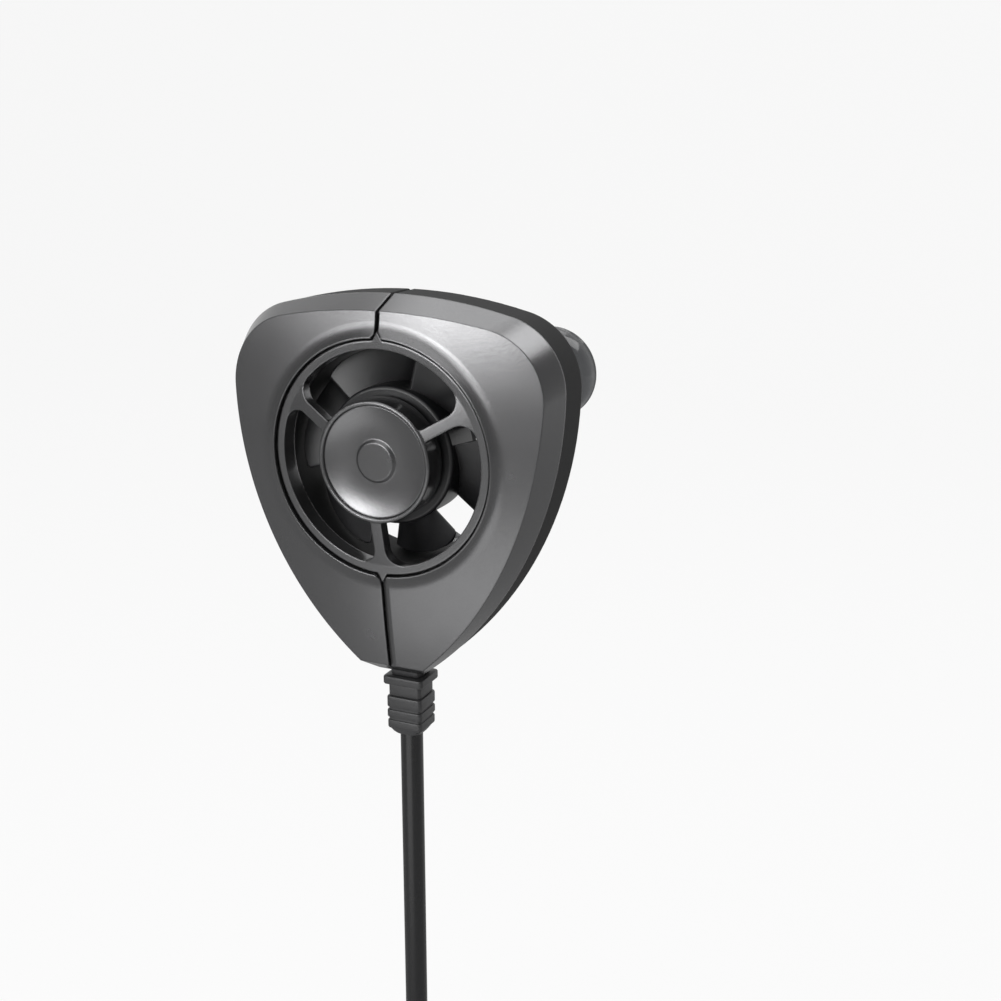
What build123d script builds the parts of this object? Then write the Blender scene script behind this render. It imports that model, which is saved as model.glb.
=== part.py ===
from build123d import *
from math import acos, atan2, cos, degrees, hypot, pi, radians, sin, sqrt, tan
import os

os.makedirs("parts", exist_ok=True)

# Cooling fan that holds to a flat back with three suction cups. Sizes in millimetres.
# Z is up and X is to the right for someone who faces the grille. The rims of the cups lie
# in the plane y = 0, and every height below is a distance from that plane towards the
# viewer, along -Y. The fan's axis runs through the origin.

# Opening for the fan, which everything round it is measured from.
opening_radius = 19.6

# Outline of the body: a rounded heart of tangent arcs, cut flat at the foot.
top_margin = 6.4
top_radius = 84.0
corner_radius = 12.0
corner_setback = 1.9
side_radius = 64.0
tip_margin = 20.5
tip_radius = 6.5
foot_cut = 1.5

# Line where the bevel meets the front, against the body's outline.
bevel_top = 2.2
bevel_corner = 2.2
bevel_tip = 1.0
bevel_tip_radius = 6.0

# Heights of the body, from the back to the crown of the dome.
back_height = 8.2
housing_depth = 7.4
dome_rise = 6.55
dome_radius = 220.0
bevel_lift = 0.05
foot_bevel_rise = 3.55
foot_bevel_inset = 2.3

# Front covers.
cover_wall = 1.5
lip_width = 0.2
collar_width = 2.6
collar_rise = 0.97
seam_gap = 0.24
seam_shift = 0.4
seam_bevel_width = 1.2
seam_bevel_depth = 0.45
tongue_depth = 1.0
tongue_wall = 0.7
tongue_fit = 0.1
boss_radius = 2.2
pilot_radius = 0.8
pilot_depth = 5.5
boss_gap = 0.05

# Rear housing.
housing_inset = 0.1
housing_wall = 1.5
floor = 1.2
back_round = 0.8
duct_wall = 1.2
foot_wall = 1.6
groove_width = 1.2
groove_depth = 0.9
arm_width = 2.4
channel_width = 4.6
channel_wall = 0.8
channel_rise = 1.0
pillar_radius = 2.6
pillar_height = 3.8
upper_boss_gap = 1.2
upper_boss_turn = 55.4
lower_boss_gap = 2.7
lower_boss_turn = 60.4

# Fan guard: ring, three flared spokes and the hub that holds the cap.
ring_fit = 0.25
ring_width = 1.45
ring_recess = 0.5
flange_fit = 0.17
flange_thickness = 1.2
flange_reach = 1.3
hub_radius = 10.0
hub_stand = 1.8
hub_depth = 4.6
hub_round = 0.35
ring_round = 0.3
cap_recess_depth = 1.8
hub_rim = 0.8
hub_web = 1.2
hub_back_wall = 1.8
spoke_count = 3
spoke_start = 30
spoke_width = 1.9
spoke_thickness = 2.0
spoke_drop = 0.4
ring_flare = 2.6
hub_flare = 0.5
nib_width = 2.4
nib_reach = 1.3
nib_fit = 0.15

# Hub cap.
cap_fit = 0.05
cap_edge = 1.4
cap_dish = 0.75
crown_radius = 3.1
crown_rise = 0.45
crown_slope = 0.5

# Impeller.
rotor_gap = 0.8
rotor_lift = 1.2
cup_wall = 1.0
rotor_round = 0.6
blade_count = 6
blade_span = 50
blade_lead = 3
blade_phase = 135
blade_thickness = 0.9
blade_camber = 0.8
blade_setback = 1.2
blade_lift = 0.4
blade_corner = 1.5
tip_gap = 0.5
root_share = 0.75

# Motor.
base_setback = 0.5
base_rim = 1.0
board_fit = 0.1
board_thickness = 0.8
chip_height = 0.6
chip_size = 3.0
sensor_size = 1.6
capacitor_length = 1.8
capacitor_width = 1.0
tube_radius = 3.4
tube_wall = 0.8
tube_rise = 0.4
yoke_wall = 0.6
yoke_fit = 0.1
magnet_wall = 1.3
magnet_fit = 0.05
magnet_setback = 0.2
air_gap = 0.45
pole_count = 4
pole_length = 2.45
shoe_thickness = 1.1
shoe_gap = 1.5
pole_width = 1.7
core_ring_wall = 1.0
core_fit = 0.05
winding = 1.2
coil_gap = 0.6
coil_lift = 0.4
coil_fit = 0.05
shaft_radius = 1.0
shaft_play = 0.03
shaft_cover = 0.5
bearing_fit = 0.02
bearing_drop = 0.3
pad_radius = 2.4
pad_thickness = 0.3
pad_play = 0.05
clip_radius = 1.8
clip_thickness = 0.2
clip_play = 0.15
clip_mouth = 1.2

# Cover screws.
screw_head_radius = 1.75
screw_head_height = 1.2
screw_sink = 1.0
screw_radius = 0.78
screw_length = 5.4
screw_fit = 0.15
shank_play = 0.3
cross_length = 2.0
cross_width = 0.5
cross_depth = 0.6
head_round = 0.35

# Suction cups.
cup_knob_gap = 2.4
cup_radius = 7.6
cup_rim = 0.6
cup_edge = 0.5
cup_hollow = 2.6
cup_dome = 5.2
cup_collar_radius = 3.4
cup_neck_radius = 2.2
cup_neck_fit = 0.1
cup_knob_radius = 3.0
cup_knob_height = 1.9
cup_knob_round = 0.6
cup_knob_play = 0.05
cup_bulge_share = 0.66
cup_crown_share = 0.68

# Strain relief.
tab_depth = 1.05
relief_fit = 0.05
relief_corner = 0.7
inner_flange_width = 6.6
inner_flange_gap = 0.2
inner_flange_length = 1.6
relief_neck_width = 5.6
relief_neck_depth = 4.6
relief_gap = 1.5
outer_flange_width = 7.6
outer_flange_depth = 6.8
outer_flange_length = 1.5
waist_width = 6.2
waist_depth = 5.4
waist_length = 2.3
rib_width = 6.7
rib_depth = 6.1
rib_length = 1.4
rib_count = 3
rib_groove = 0.9
rib_groove_depth = 0.5
nose_length = 1.1
nose_radius = 2.4

# Lead wires inside the housing.
lead_radius = 0.4
lead_spacing = 1.2
lead_pass = 1.2
lead_lift = 0.05
lead_run = 1.8

# Cord, its coil and its tie.
cord_radius = 2.0
cord_drop = 51.5
ring_radius = 31.5
coil_play = 1.2
coil_start = 110
coil_end = 180
turns_in = 3
turns_out = 2.5
tail_drop = 30.0
tie_width = 6.0
tie_wall = 1.2
tie_gap = 0.3
tie_corner = 1.6

# Plug at the end of the cord.
grip_width = 15.4
grip_depth = 7.8
grip_length = 17.0
grip_corner = 2.4
grip_round = 0.8
grip_neck_radius = 2.9
grip_neck_length = 6.0
grip_groove = 0.5
grip_groove_length = 1.0
grip_groove_pitch = 2.2
grip_groove_count = 4
shell_width = 12.0
shell_depth = 4.5
shell_length = 16.5
shell_sheet = 0.3
shell_corner = 0.6
shell_sink = 4.5
shell_fit = 0.05
latch_width = 2.5
latch_length = 2.0
latch_pitch = 5.0
latch_setback = 5.2
tongue_thickness = 1.9
tongue_setback = 0.6
contact_width = 1.0
contact_inner_x = 1.0
contact_outer_x = 3.5
contact_thickness = 0.15
contact_length = 8.0
contact_setback = 1.2

# Reach of every cut past the surface that it leaves.
overrun = 8.0

seat_plane = Plane(origin=(0, 0, 0), x_dir=(1, 0, 0), z_dir=(0, -1, 0))
back_plane = Plane(origin=(0, -back_height, 0), x_dir=(1, 0, 0), z_dir=(0, 1, 0))
section_plane = Plane(origin=(0, 0, 0), x_dir=(1, 0, 0), z_dir=(0, 0, -1))
fan_axis = Axis((0, 0, 0), (0, -1, 0))

# Outline sizes that follow.
top_reach = opening_radius + top_margin
tip_reach = opening_radius + tip_margin
corner_offset = opening_radius - corner_setback
foot_reach = tip_reach - foot_cut
foot_inner = foot_reach - foot_wall
collar_radius = opening_radius + collar_width

# Heights that follow.
parting = back_height + housing_depth
floor_top = back_height + floor
dome_height = parting + dome_rise
dome_centre = dome_height - dome_radius
flange_radius = opening_radius - ring_fit - ring_width + duct_wall + flange_reach


def dome_at(radius, skin=0):
    """Height of the dome, or of its inner skin, at a distance from the axis."""
    return dome_centre + sqrt((dome_radius - skin) ** 2 - radius**2)


bevel_height = dome_at(top_reach - bevel_top) + bevel_lift
lip_height = dome_at(collar_radius) + collar_rise
ring_front = lip_height - ring_recess
flange_front = dome_at(flange_radius, cover_wall) - flange_fit
flange_back = flange_front - flange_thickness
hub_front = lip_height + hub_stand
hub_back = hub_front - hub_depth
cap_seat = hub_front - cap_recess_depth
rotor_base = floor_top + rotor_lift
rotor_top = hub_back - rotor_gap
blade_front = rotor_top - blade_setback
blade_base = rotor_base + blade_lift
board_top = floor_top + board_thickness
yoke_seat = rotor_top - cup_wall
yoke_inner_top = yoke_seat - yoke_wall
coil_base = board_top + chip_height + coil_lift
coil_top = yoke_inner_top - coil_gap
core_base = coil_base + winding
core_height = coil_top - winding - core_base
tube_top = core_base + core_height + tube_rise
pillar_top = floor_top + pillar_height - floor
cover_boss_base = pillar_top + boss_gap

# Radii that follow.
ring_outer = opening_radius - ring_fit
duct_radius = ring_outer - ring_width
tip_circle = duct_radius - tip_gap
tube_bore = tube_radius - tube_wall
core_bore = tube_radius + core_fit
core_ring = core_bore + core_ring_wall
shoe_inner = core_ring + pole_length
stator_radius = shoe_inner + shoe_thickness
magnet_inner = stator_radius + air_gap
magnet_outer = magnet_inner + magnet_wall
yoke_radius = magnet_outer + magnet_fit + yoke_wall
rotor_radius = yoke_radius + yoke_fit + cup_wall
base_radius = rotor_radius - base_setback
board_radius = base_radius - base_rim - board_fit
cup_distance = duct_radius + duct_wall + cup_knob_gap + cup_knob_radius

# Places that follow.
boss_places = []
for boss_gap_out, boss_turn in ((upper_boss_gap, upper_boss_turn), (lower_boss_gap, -lower_boss_turn)):
    boss_distance = flange_radius + boss_gap_out + boss_radius
    for way in (1, -1):
        boss_x = way * boss_distance * cos(radians(boss_turn))
        boss_places.append((boss_x, boss_distance * sin(radians(boss_turn))))
relief_height = parting - tab_depth - relief_fit - relief_neck_depth / 2
inner_flange_depth = 2 * (relief_height - floor_top - inner_flange_gap)
tongue_inset = housing_inset + housing_wall + tongue_fit



def heart(top_reach, top_radius, corner_radius, corner_offset, side_radius, tip_reach, tip_radius):
    """A closed outline of tangent arcs: top, two corners, two sides and the tip."""
    top_centre = top_reach - top_radius
    corner_centre = top_centre + sqrt((top_radius - corner_radius) ** 2 - corner_offset**2)
    tip_centre = tip_radius - tip_reach
    gap_x = -corner_offset
    gap_z = tip_centre - corner_centre
    gap_length = hypot(gap_x, gap_z)
    to_corner = side_radius - corner_radius
    to_tip = side_radius - tip_radius
    # the centre of the side arc, which touches the corner arc and the tip arc
    along = (to_corner**2 - to_tip**2 + gap_length**2) / (2 * gap_length)
    across = sqrt(to_corner**2 - along**2)
    side_x = corner_offset + (along * gap_x + across * gap_z) / gap_length
    side_z = corner_centre + (along * gap_z - across * gap_x) / gap_length
    top_turn = degrees(atan2(corner_centre - top_centre, corner_offset))
    side_turn = degrees(atan2(corner_centre - side_z, corner_offset - side_x))
    tip_turn = degrees(atan2(tip_centre - side_z, -side_x))
    with BuildSketch() as outline:
        with BuildLine():
            CenterArc((0, top_centre), top_radius, top_turn, 180 - 2 * top_turn)
            CenterArc((-corner_offset, corner_centre), corner_radius, 180 - top_turn, top_turn - side_turn)
            CenterArc((-side_x, side_z), side_radius, 180 - side_turn, side_turn - tip_turn)
            CenterArc((0, tip_centre), tip_radius, 180 - tip_turn, 180 + 2 * tip_turn)
            CenterArc((side_x, side_z), side_radius, tip_turn, side_turn - tip_turn)
            CenterArc((corner_offset, corner_centre), corner_radius, side_turn, top_turn - side_turn)
        make_face()
    return outline.sketch


def body_outline(inset):
    """The outline of the body, drawn in by inset."""
    return heart(
        top_reach - inset,
        top_radius - inset,
        corner_radius - inset,
        corner_offset,
        side_radius - inset,
        tip_reach - inset,
        tip_radius - inset,
    )


def front_outline(inset):
    """The line where the bevel ends at the front, drawn in by inset."""
    return heart(
        top_reach - bevel_top - inset,
        top_radius - bevel_top - inset,
        corner_radius - inset,
        corner_offset - bevel_corner,
        side_radius - inset,
        tip_reach - bevel_tip - inset,
        bevel_tip_radius - inset,
    )


def front_form(inset):
    """The space under the bevel, drawn in by inset and open towards the dome."""
    with BuildPart() as form:
        with BuildSketch(seat_plane.offset(parting)):
            add(body_outline(inset))
        with BuildSketch(seat_plane.offset(bevel_height)):
            add(front_outline(inset))
        loft(ruled=True)
        extrude(form.faces().sort_by(fan_axis)[-1], amount=dome_rise)
    return form.part


# Plane of the bevel across the foot.
foot_plane = Plane(
    origin=(0, -parting, -foot_reach),
    x_dir=(1, 0, 0),
    z_dir=(0, foot_bevel_inset, foot_bevel_rise),
)

# Both covers together, before the seam: bevelled sides, dome and raised collar.
with BuildPart() as cover_blank:
    add(front_form(0))
    with BuildSketch(section_plane):
        with BuildLine():
            dome_reach = tip_reach + overrun
            dome_start = degrees(acos(collar_radius / dome_radius))
            dome_end = degrees(acos(dome_reach / dome_radius))
            dome = CenterArc((0, dome_centre), dome_radius, dome_start, dome_end - dome_start)
            lip = Line((opening_radius + lip_width, lip_height), (opening_radius, lip_height))
            TangentArc(dome @ 0, lip @ 0, tangent=-(dome % 0))
            Polyline(lip @ 1, (opening_radius, back_height), (dome_reach, back_height), dome @ 1)
        make_face()
    revolve(axis=fan_axis, mode=Mode.INTERSECT)
    split(bisect_by=foot_plane, keep=Keep.TOP)

# The space inside both covers.
with BuildPart() as cover_hollow:
    add(front_form(cover_wall))
    with BuildSketch(seat_plane.offset(parting)):
        add(body_outline(tongue_inset + tongue_wall))
    extrude(amount=dome_rise, mode=Mode.INTERSECT)
    with BuildSketch(section_plane):
        with BuildLine():
            skin_radius = dome_radius - cover_wall
            skin_end = degrees(acos(dome_reach / skin_radius))
            skin = CenterArc((0, dome_centre), skin_radius, 90, skin_end - 90)
            Polyline(skin @ 1, (dome_reach, back_height), (0, back_height), skin @ 0)
        make_face()
    revolve(axis=fan_axis, mode=Mode.INTERSECT)
    split(bisect_by=Plane(origin=(0, 0, -foot_inner), z_dir=(0, 0, 1)), keep=Keep.TOP)
    split(bisect_by=foot_plane.offset(cover_wall), keep=Keep.TOP)

with BuildPart() as covers:
    add(cover_blank.part)
    add(cover_hollow.part, mode=Mode.SUBTRACT)
    # tongue that centres the covers in the housing, open above the strain relief
    with BuildSketch(seat_plane.offset(parting)):
        add(body_outline(tongue_inset))
        add(body_outline(tongue_inset + tongue_wall), mode=Mode.SUBTRACT)
        with Locations((0, inner_flange_length + tongue_fit - foot_inner)):
            Rectangle(tip_reach, overrun, align=(Align.CENTER, Align.MAX), mode=Mode.SUBTRACT)
    extrude(amount=-tongue_depth)
    # tab that closes the slot over the strain relief
    with BuildSketch(seat_plane.offset(parting)):
        with Locations((0, -foot_reach)):
            Rectangle(relief_neck_width, foot_wall, align=(Align.CENTER, Align.MIN))
    extrude(amount=-tab_depth)
    # screw bosses, up into the skin of the dome
    for boss_x, boss_z in boss_places:
        with BuildSketch(seat_plane.offset(cover_boss_base)):
            with Locations((boss_x, boss_z)):
                Circle(boss_radius)
        skin_middle = dome_at(hypot(boss_x, boss_z)) - cover_wall / 2
        extrude(amount=skin_middle - cover_boss_base)
    with BuildSketch(seat_plane.offset(cover_boss_base)):
        with Locations(*boss_places):
            Circle(pilot_radius)
    extrude(amount=pilot_depth, mode=Mode.SUBTRACT)
    # notches for the two nibs of the guard
    with BuildSketch(seat_plane.offset(parting)):
        notch_half = nib_width / 2 + nib_fit
        notch_tip = ring_outer + nib_reach + nib_fit
        for way in (1, -1):
            with BuildLine():
                notch_base = way * (ring_outer - nib_fit)
                Polyline((-notch_half, notch_base), (notch_half, notch_base), (0, way * notch_tip), close=True)
            make_face()
    extrude(amount=dome_rise, mode=Mode.SUBTRACT)

with BuildPart() as left_front_cover:
    add(covers.part)
    split(bisect_by=Plane(origin=(-seam_shift - seam_gap / 2, 0, 0), z_dir=(-1, 0, 0)), keep=Keep.TOP)
left_front_cover.part.label = "left_front_cover"
export_step(left_front_cover.part, "parts/left_front_cover.step")

with BuildPart() as right_front_cover:
    add(covers.part)
    split(bisect_by=Plane(origin=(-seam_shift + seam_gap / 2, 0, 0), z_dir=(1, 0, 0)), keep=Keep.TOP)
    # the wide, shallow bevel along the seam, above and below the opening
    seam_face = right_front_cover.faces().filter_by(Axis.X).group_by(Axis.X)[0]
    seam_edges = seam_face.edges().filter_by(
        lambda edge: abs(dome_at(abs((edge @ 0.5).Z)) + (edge @ 0.5).Y) < seam_gap
        or ((edge @ 0.5).Z > top_reach - bevel_top and (edge @ 0.5).Y < -parting)
    )
    chamfer(seam_edges, length=seam_bevel_depth, length2=seam_bevel_width)
right_front_cover.part.label = "right_front_cover"
export_step(right_front_cover.part, "parts/right_front_cover.step")

# Guard: flat outline of ring, spokes and hub, cut to one section round the axis.
with BuildPart() as fan_guard:
    with BuildSketch(seat_plane.offset(flange_back)) as guard_outline:
        Circle(flange_radius)
        Circle(duct_radius, mode=Mode.SUBTRACT)
        Circle(hub_radius)
        with PolarLocations(0, spoke_count, start_angle=spoke_start):
            Rectangle(ring_outer, spoke_width, align=(Align.MIN, Align.CENTER))
        inner_corners = guard_outline.vertices().filter_by(
            lambda corner: hypot(corner.X, corner.Y) < (hub_radius + duct_radius) / 2
            and hypot(corner.X, corner.Y) > hub_radius / 2
        )
        fillet(inner_corners, radius=hub_flare)
        outer_corners = guard_outline.vertices().filter_by(
            lambda corner: abs(hypot(corner.X, corner.Y) - duct_radius) < ring_width / 2
        )
        fillet(outer_corners, radius=ring_flare)
    extrude(amount=hub_front - flange_back)
    with BuildSketch(section_plane) as guard_section:
        spoke_front = hub_front - spoke_drop
        web_front = hub_back + hub_back_wall
        with BuildLine():
            Polyline(
                (0, cap_seat),
                (hub_radius - hub_rim, cap_seat),
                (hub_radius - hub_rim, hub_front),
                (hub_radius, hub_front),
                (hub_radius, spoke_front),
                (duct_radius, ring_front),
                (ring_outer, ring_front),
                (ring_outer, flange_front),
                (flange_radius, flange_front),
                (flange_radius, flange_back),
                (duct_radius, flange_back),
                (duct_radius, ring_front - spoke_thickness),
                (hub_radius, spoke_front - spoke_thickness),
                (hub_radius, hub_back),
                (hub_radius - hub_back_wall, hub_back),
                (hub_radius - hub_back_wall, cap_seat - hub_web),
                (0, cap_seat - hub_web),
                close=True,
            )
        make_face()
        rim_corners = guard_section.vertices().filter_by(lambda corner: abs(corner.Y - hub_front) < hub_rim / 4)
        fillet(rim_corners, radius=hub_round)
    revolve(axis=fan_axis, mode=Mode.INTERSECT)
    # two nibs that keep the ring from turning in the covers
    with BuildSketch(seat_plane.offset(flange_front)):
        for way in (1, -1):
            nib_root = way * (ring_outer - ring_width / 2)
            nib_tip = way * (ring_outer + nib_reach)
            with BuildLine():
                Polyline((-nib_width / 2, nib_root), (nib_width / 2, nib_root), (0, nib_tip), close=True)
            make_face()
    extrude(amount=ring_front - flange_front)
    ring_edges = fan_guard.edges().filter_by(GeomType.CIRCLE).filter_by(
        lambda edge: abs((edge @ 0.5).Y + ring_front) < ring_round / 4
        and abs(edge.radius - ring_outer) < ring_round
    )
    fillet(ring_edges, radius=ring_round)
fan_guard.part.label = "fan_guard"
export_step(fan_guard.part, "parts/fan_guard.step")

# Cap: a dished disc with a low round crown.
with BuildPart() as hub_cap:
    with BuildSketch(section_plane):
        cap_radius = hub_radius - hub_rim - cap_fit
        cap_top = cap_seat + cap_edge
        dish_low = cap_top - cap_dish
        crown_foot = crown_radius + crown_slope
        with BuildLine():
            cap_side = Polyline((0, cap_seat), (cap_radius, cap_seat), (cap_radius, cap_top))
            dish = RadiusArc(
                cap_side @ 1,
                (crown_foot, dish_low),
                hypot(cap_radius - crown_foot, cap_dish) ** 2 / (2 * cap_dish),
            )
            Polyline(dish @ 1, (crown_radius, dish_low + crown_rise), (0, dish_low + crown_rise), (0, cap_seat))
        make_face()
    revolve(axis=fan_axis)
hub_cap.part.label = "hub_cap"
export_step(hub_cap.part, "parts/hub_cap.step")

# Rear housing: tray with the duct, the motor's arms and base, and the pillars for screws.
with BuildPart() as rear_housing:
    with BuildSketch(seat_plane.offset(back_height)):
        add(body_outline(housing_inset))
    extrude(amount=housing_depth)
    back_edges = rear_housing.edges().group_by(fan_axis)[0]
    fillet(back_edges, radius=back_round)
    split(bisect_by=Plane(origin=(0, 0, -foot_reach), z_dir=(0, 0, 1)), keep=Keep.TOP)
    with BuildSketch(seat_plane.offset(floor_top)):
        add(body_outline(housing_inset + housing_wall))
        with Locations((0, -foot_inner)):
            Rectangle(tip_reach, overrun, align=(Align.CENTER, Align.MAX), mode=Mode.SUBTRACT)
    extrude(amount=housing_depth, mode=Mode.SUBTRACT)
    # duct, with its bore right through the floor
    with BuildSketch(seat_plane.offset(back_height)):
        Circle(duct_radius + duct_wall)
    extrude(amount=flange_back - back_height)
    with BuildSketch(seat_plane.offset(back_height)):
        Circle(duct_radius)
    extrude(amount=flange_back - back_height, mode=Mode.SUBTRACT)
    # motor base on three arms, the lowest a channel for the lead wires
    with BuildSketch(seat_plane.offset(back_height)):
        Circle(base_radius)
        with PolarLocations(0, spoke_count - 1, start_angle=spoke_start, angular_range=360 / spoke_count * 2):
            Rectangle(duct_radius + duct_wall / 2, arm_width, align=(Align.MIN, Align.CENTER))
        Rectangle(channel_width, duct_radius + duct_wall / 2, align=(Align.CENTER, Align.MAX))
    extrude(amount=floor)
    with BuildSketch(seat_plane.offset(floor_top)):
        Circle(base_radius)
        Circle(board_radius + board_fit, mode=Mode.SUBTRACT)
        Rectangle(channel_width, duct_radius + duct_wall / 2, align=(Align.CENTER, Align.MAX))
        Rectangle(
            channel_width - 2 * channel_wall,
            duct_radius + duct_wall,
            align=(Align.CENTER, Align.MAX),
            mode=Mode.SUBTRACT,
        )
        Circle(board_radius + board_fit, mode=Mode.SUBTRACT)
    extrude(amount=channel_rise)
    # notch in the duct for the lead wires
    with BuildSketch(seat_plane.offset(floor_top)):
        with Locations((0, -duct_radius)):
            Rectangle(channel_width - 2 * channel_wall, 3 * duct_wall)
    extrude(amount=channel_rise, mode=Mode.SUBTRACT)
    # bearing tube
    with BuildSketch(seat_plane.offset(floor_top)):
        Circle(tube_radius)
        Circle(tube_bore, mode=Mode.SUBTRACT)
    extrude(amount=tube_top - floor_top)
    # pillars, bored for the screws and sunk for their heads
    with BuildSketch(seat_plane.offset(back_height)):
        with Locations(*boss_places):
            Circle(pillar_radius)
    extrude(amount=pillar_top - back_height)
    with Locations(back_plane):
        with Locations(*[(boss_x, -boss_z) for boss_x, boss_z in boss_places]):
            CounterBoreHole(
                radius=screw_radius + shank_play,
                counter_bore_radius=screw_head_radius + screw_fit,
                counter_bore_depth=screw_sink + screw_head_height,
                depth=pillar_height,
            )
        # holes for the necks of the suction cups
        with PolarLocations(cup_distance, spoke_count, start_angle=-spoke_start):
            Hole(radius=cup_neck_radius + cup_neck_fit, depth=floor)
    # slot in the foot for the strain relief, and the end of the seam above it
    slot_bottom = relief_height - relief_neck_depth / 2 - relief_fit
    with BuildSketch(seat_plane.offset(slot_bottom)):
        with Locations((0, -foot_reach)):
            Rectangle(relief_neck_width + 2 * relief_fit, 2 * foot_wall)
    extrude(amount=housing_depth, mode=Mode.SUBTRACT)
    with BuildSketch(seat_plane.offset(back_height)):
        groove_top = top_reach - housing_inset
        with BuildLine():
            Polyline(
                (-seam_shift - groove_width / 2, groove_top),
                (-seam_shift, groove_top - groove_depth),
                (-seam_shift + groove_width / 2, groove_top),
                close=True,
            )
        make_face()
    extrude(amount=housing_depth, mode=Mode.SUBTRACT)
rear_housing.part.label = "rear_housing"
export_step(rear_housing.part, "parts/rear_housing.step")

# One blade: a thin curved section that runs back and clockwise from its front edge.
with BuildPart() as blade:
    half_span = radians(blade_span / 2)
    for distance, lead in ((rotor_radius * root_share, 0), (tip_circle, blade_lead)):
        front_t = distance * tan(half_span + radians(lead))
        back_t = -distance * tan(half_span)
        middle_t = (front_t + back_t) / 2
        middle_h = (blade_front + blade_base) / 2 + blade_camber
        with BuildSketch(Plane(origin=(distance, 0, 0), x_dir=(0, 0, 1), z_dir=(1, 0, 0))):
            with BuildLine():
                ThreePointArc(
                    (front_t, blade_front),
                    (middle_t, middle_h + blade_thickness / 2),
                    (back_t, blade_base + blade_thickness),
                )
                Line((back_t, blade_base + blade_thickness), (back_t, blade_base))
                ThreePointArc(
                    (back_t, blade_base),
                    (middle_t, middle_h - blade_thickness / 2),
                    (front_t, blade_front),
                )
            make_face()
    loft(ruled=True)
    with BuildSketch(section_plane) as blade_reach:
        root = rotor_radius - cup_wall / 2
        with BuildLine():
            Polyline(
                (root, rotor_base),
                (tip_circle, rotor_base),
                (tip_circle, blade_front),
                (root, blade_front),
                close=True,
            )
        make_face()
        tip_corners = blade_reach.vertices().group_by(Axis.X)[-1]
        fillet(tip_corners, radius=blade_corner)
    revolve(axis=fan_axis, mode=Mode.INTERSECT)

# Impeller: cup-shaped hub with its blades and the seat of the shaft.
with BuildPart() as rotor:
    with BuildSketch(section_plane) as cup_section:
        cup_inner = rotor_radius - cup_wall
        with BuildLine():
            Polyline(
                (0, rotor_top),
                (rotor_radius, rotor_top),
                (rotor_radius, rotor_base),
                (cup_inner, rotor_base),
                (cup_inner, yoke_seat),
                (0, yoke_seat),
                close=True,
            )
        make_face()
        crown_corner = cup_section.vertices().group_by(Axis.Y)[-1].sort_by(Axis.X)[-1]
        fillet(crown_corner, radius=rotor_round)
    revolve(axis=fan_axis)
    first_blade = blade_phase - blade_span / 2 - blade_lead
    for number in range(blade_count):
        add(blade.part.rotate(fan_axis, first_blade + number * 360 / blade_count))
    with BuildSketch(seat_plane.offset(yoke_seat)):
        Circle(shaft_radius)
    extrude(amount=cup_wall - shaft_cover, mode=Mode.SUBTRACT)
rotor.part.label = "rotor"
export_step(rotor.part, "parts/rotor.step")

with BuildPart() as rotor_yoke:
    with BuildSketch(seat_plane.offset(rotor_base + magnet_setback)):
        Circle(yoke_radius)
    extrude(amount=yoke_seat - rotor_base - magnet_setback)
    with BuildSketch(seat_plane.offset(rotor_base + magnet_setback)):
        Circle(yoke_radius - yoke_wall)
    extrude(amount=yoke_inner_top - rotor_base - magnet_setback, mode=Mode.SUBTRACT)
    with BuildSketch(seat_plane.offset(yoke_inner_top)):
        Circle(shaft_radius)
    extrude(amount=yoke_wall, mode=Mode.SUBTRACT)
rotor_yoke.part.label = "rotor_yoke"
export_step(rotor_yoke.part, "parts/rotor_yoke.step")

with BuildPart() as magnet_ring:
    with BuildSketch(seat_plane.offset(blade_base)):
        Circle(magnet_outer)
        Circle(magnet_inner, mode=Mode.SUBTRACT)
    extrude(amount=yoke_inner_top - magnet_setback - blade_base)
magnet_ring.part.label = "magnet_ring"
export_step(magnet_ring.part, "parts/magnet_ring.step")

# Shaft, held in the hub and borne in the sleeve, with its end on the thrust pad.
pad_top = floor_top + pad_thickness
shaft_end = pad_top + pad_play
clip_base = shaft_end + clip_play
bearing_base = clip_base + clip_thickness + clip_play
with BuildPart() as shaft:
    with BuildSketch(seat_plane.offset(shaft_end)):
        Circle(shaft_radius)
    extrude(amount=yoke_seat + cup_wall - shaft_cover - shaft_end)
shaft.part.label = "shaft"
export_step(shaft.part, "parts/shaft.step")

with BuildPart() as retaining_clip:
    with BuildSketch(seat_plane.offset(clip_base)):
        Circle(clip_radius)
        Circle(shaft_radius, mode=Mode.SUBTRACT)
        Rectangle(clip_radius, clip_mouth, align=(Align.MIN, Align.CENTER), mode=Mode.SUBTRACT)
    extrude(amount=clip_thickness)
retaining_clip.part.label = "retaining_clip"
export_step(retaining_clip.part, "parts/retaining_clip.step")

with BuildPart() as sleeve_bearing:
    with BuildSketch(seat_plane.offset(bearing_base)):
        Circle(tube_bore - bearing_fit)
        Circle(shaft_radius + shaft_play, mode=Mode.SUBTRACT)
    extrude(amount=tube_top - bearing_drop - bearing_base)
sleeve_bearing.part.label = "sleeve_bearing"
export_step(sleeve_bearing.part, "parts/sleeve_bearing.step")

with BuildPart() as thrust_pad:
    with BuildSketch(seat_plane.offset(floor_top)):
        Circle(pad_radius)
    extrude(amount=pad_thickness)
thrust_pad.part.label = "thrust_pad"
export_step(thrust_pad.part, "parts/thrust_pad.step")

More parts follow.
